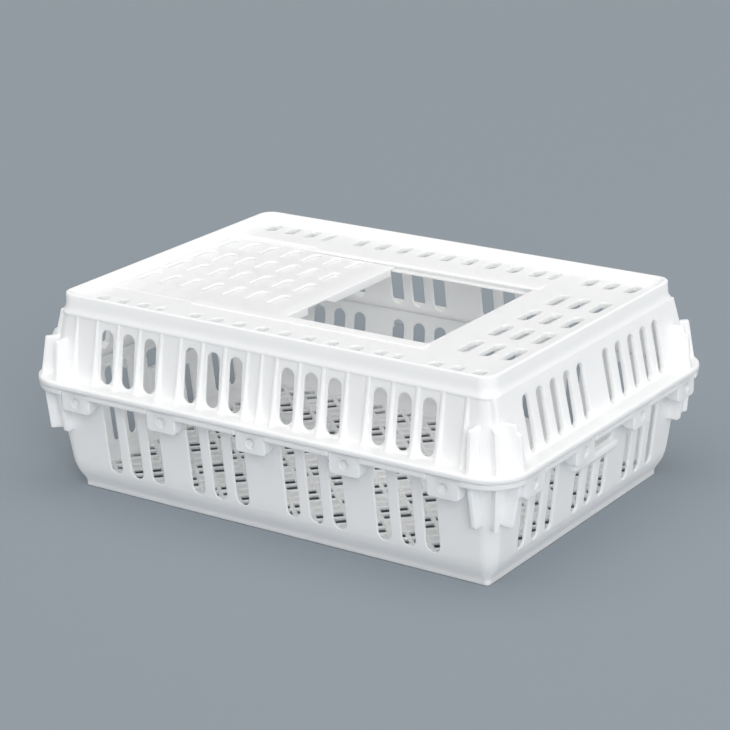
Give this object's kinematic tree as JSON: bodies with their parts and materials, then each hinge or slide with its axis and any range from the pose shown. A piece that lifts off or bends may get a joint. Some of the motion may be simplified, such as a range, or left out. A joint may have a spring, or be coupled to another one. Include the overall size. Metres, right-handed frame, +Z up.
{
  "type": "poultry transport crate",
  "caption": "Slatted plastic crate for carrying live poultry: a tray and a cover pinned together at a wide rim, with a grilled door that slides open along the top.",
  "frame": {"origin": "middle of the footprint, on the plane that the foot rim stands on", "axes": "+X along the length, towards the grilled end that stays clear of the door; +Y across the width, towards the back wall; +Z up"},
  "size_m": [0.75, 0.539, 0.2745],
  "materials": {
    "tray_white": "moulded HDPE, satin, slightly translucent",
    "cover_white": "moulded HDPE, satin, slightly translucent",
    "door_white": "moulded HDPE, satin, slightly warmer than the shells",
    "pin_white": "moulded nylon, soft gloss"
  },
  "bodies": {
    "crate": {"tray": "tray_white", "cover": "cover_white", "rim_pin_front_1": "pin_white", "rim_pin_front_2": "pin_white", "rim_pin_front_3": "pin_white", "rim_pin_front_4": "pin_white", "rim_pin_front_5": "pin_white", "rim_pin_right_1": "pin_white", "rim_pin_right_2": "pin_white", "rim_pin_right_3": "pin_white", "rim_pin_right_4": "pin_white", "rim_pin_back_1": "pin_white", "rim_pin_back_2": "pin_white", "rim_pin_back_3": "pin_white", "rim_pin_back_4": "pin_white", "rim_pin_back_5": "pin_white", "rim_pin_left_1": "pin_white", "rim_pin_left_2": "pin_white", "rim_pin_left_3": "pin_white", "rim_pin_left_4": "pin_white"},
    "door": {"hatch_door": "door_white"}
  },
  "joints": [
    {"name": "door_slide", "type": "slide", "parent": "crate", "child": "door", "axis": [1, 0, 0], "range_m": [0, 0.222]}
  ]
}
